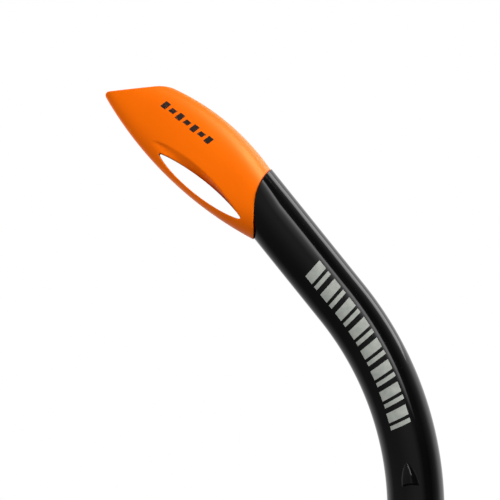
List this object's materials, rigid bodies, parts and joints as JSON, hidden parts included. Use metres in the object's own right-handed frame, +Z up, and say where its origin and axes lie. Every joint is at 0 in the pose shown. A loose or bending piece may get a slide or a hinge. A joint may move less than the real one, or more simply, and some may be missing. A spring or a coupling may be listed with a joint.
{
  "type": "snorkel tube",
  "caption": "Snorkel with a bent oval barrel, a slotted splash-guard tip, a sliding strap keeper, a corrugated drop-away hose, a purge valve chamber and a mouthpiece.",
  "frame": {"origin": "centre of the strap clip's flat pad face, which lies against the wearer's mask strap", "axes": "+Z up along the straight part of the barrel, -X towards the wearer's head and mouth, Y across the snorkel, which is symmetric about Y = 0"},
  "size_m": [0.1524, 0.062, 0.4014],
  "materials": {
    "orange_shell": "satin moulded plastic",
    "black_gloss": "polished black plastic",
    "black_satin": "satin black plastic",
    "black_silicone": "soft silicone",
    "valve_silicone": "translucent silicone"
  },
  "bodies": {
    "clip": {"strap_clip": "black_satin", "swivel_pin": "black_satin"},
    "keeper": {"keeper_collar": "black_satin"},
    "barrel": {"barrel": "black_gloss", "tip_shell": "orange_shell", "splash_baffle": "orange_shell"},
    "hose": {"flex_hose": "black_silicone", "upper_clamp_ring": "black_satin"},
    "chamber": {"lower_clamp_ring": "black_satin", "purge_housing": "black_gloss", "valve_seat": "black_satin", "purge_cover": "orange_shell", "mouthpiece": "black_silicone", "mouthpiece_tie": "black_satin"},
    "valve": {"purge_valve": "valve_silicone"}
  },
  "joints": [
    {"name": "clip_swivel", "type": "hinge", "parent": "clip", "child": "keeper", "pos_m": [0.005, 0, 0], "axis": [1, 0, 0], "range_deg": [-90, 90]},
    {"name": "keeper_slide", "type": "slide", "parent": "keeper", "child": "barrel", "axis": [0, 0, 1], "range_m": [-0.02, 0.018]},
    {"name": "hose_swivel", "type": "hinge", "parent": "barrel", "child": "hose", "pos_m": [0.022, 0, -0.041], "axis": [0, 0, 1], "range_deg": [-60, 60]},
    {"name": "hose_flex", "type": "hinge", "parent": "hose", "child": "chamber", "pos_m": [0.01627, 0, -0.0955], "axis": [0, 1, 0], "range_deg": [-30, 15], "stiffness_Nm_per_rad": 0.35, "deforming": ["flex_hose"]},
    {"name": "purge_valve_lift", "type": "slide", "parent": "chamber", "child": "valve", "axis": [-0.5, 0, -0.866], "range_m": [0, 0.0012], "stiffness_N_per_m": 20, "springref_m": -0.002}
  ]
}
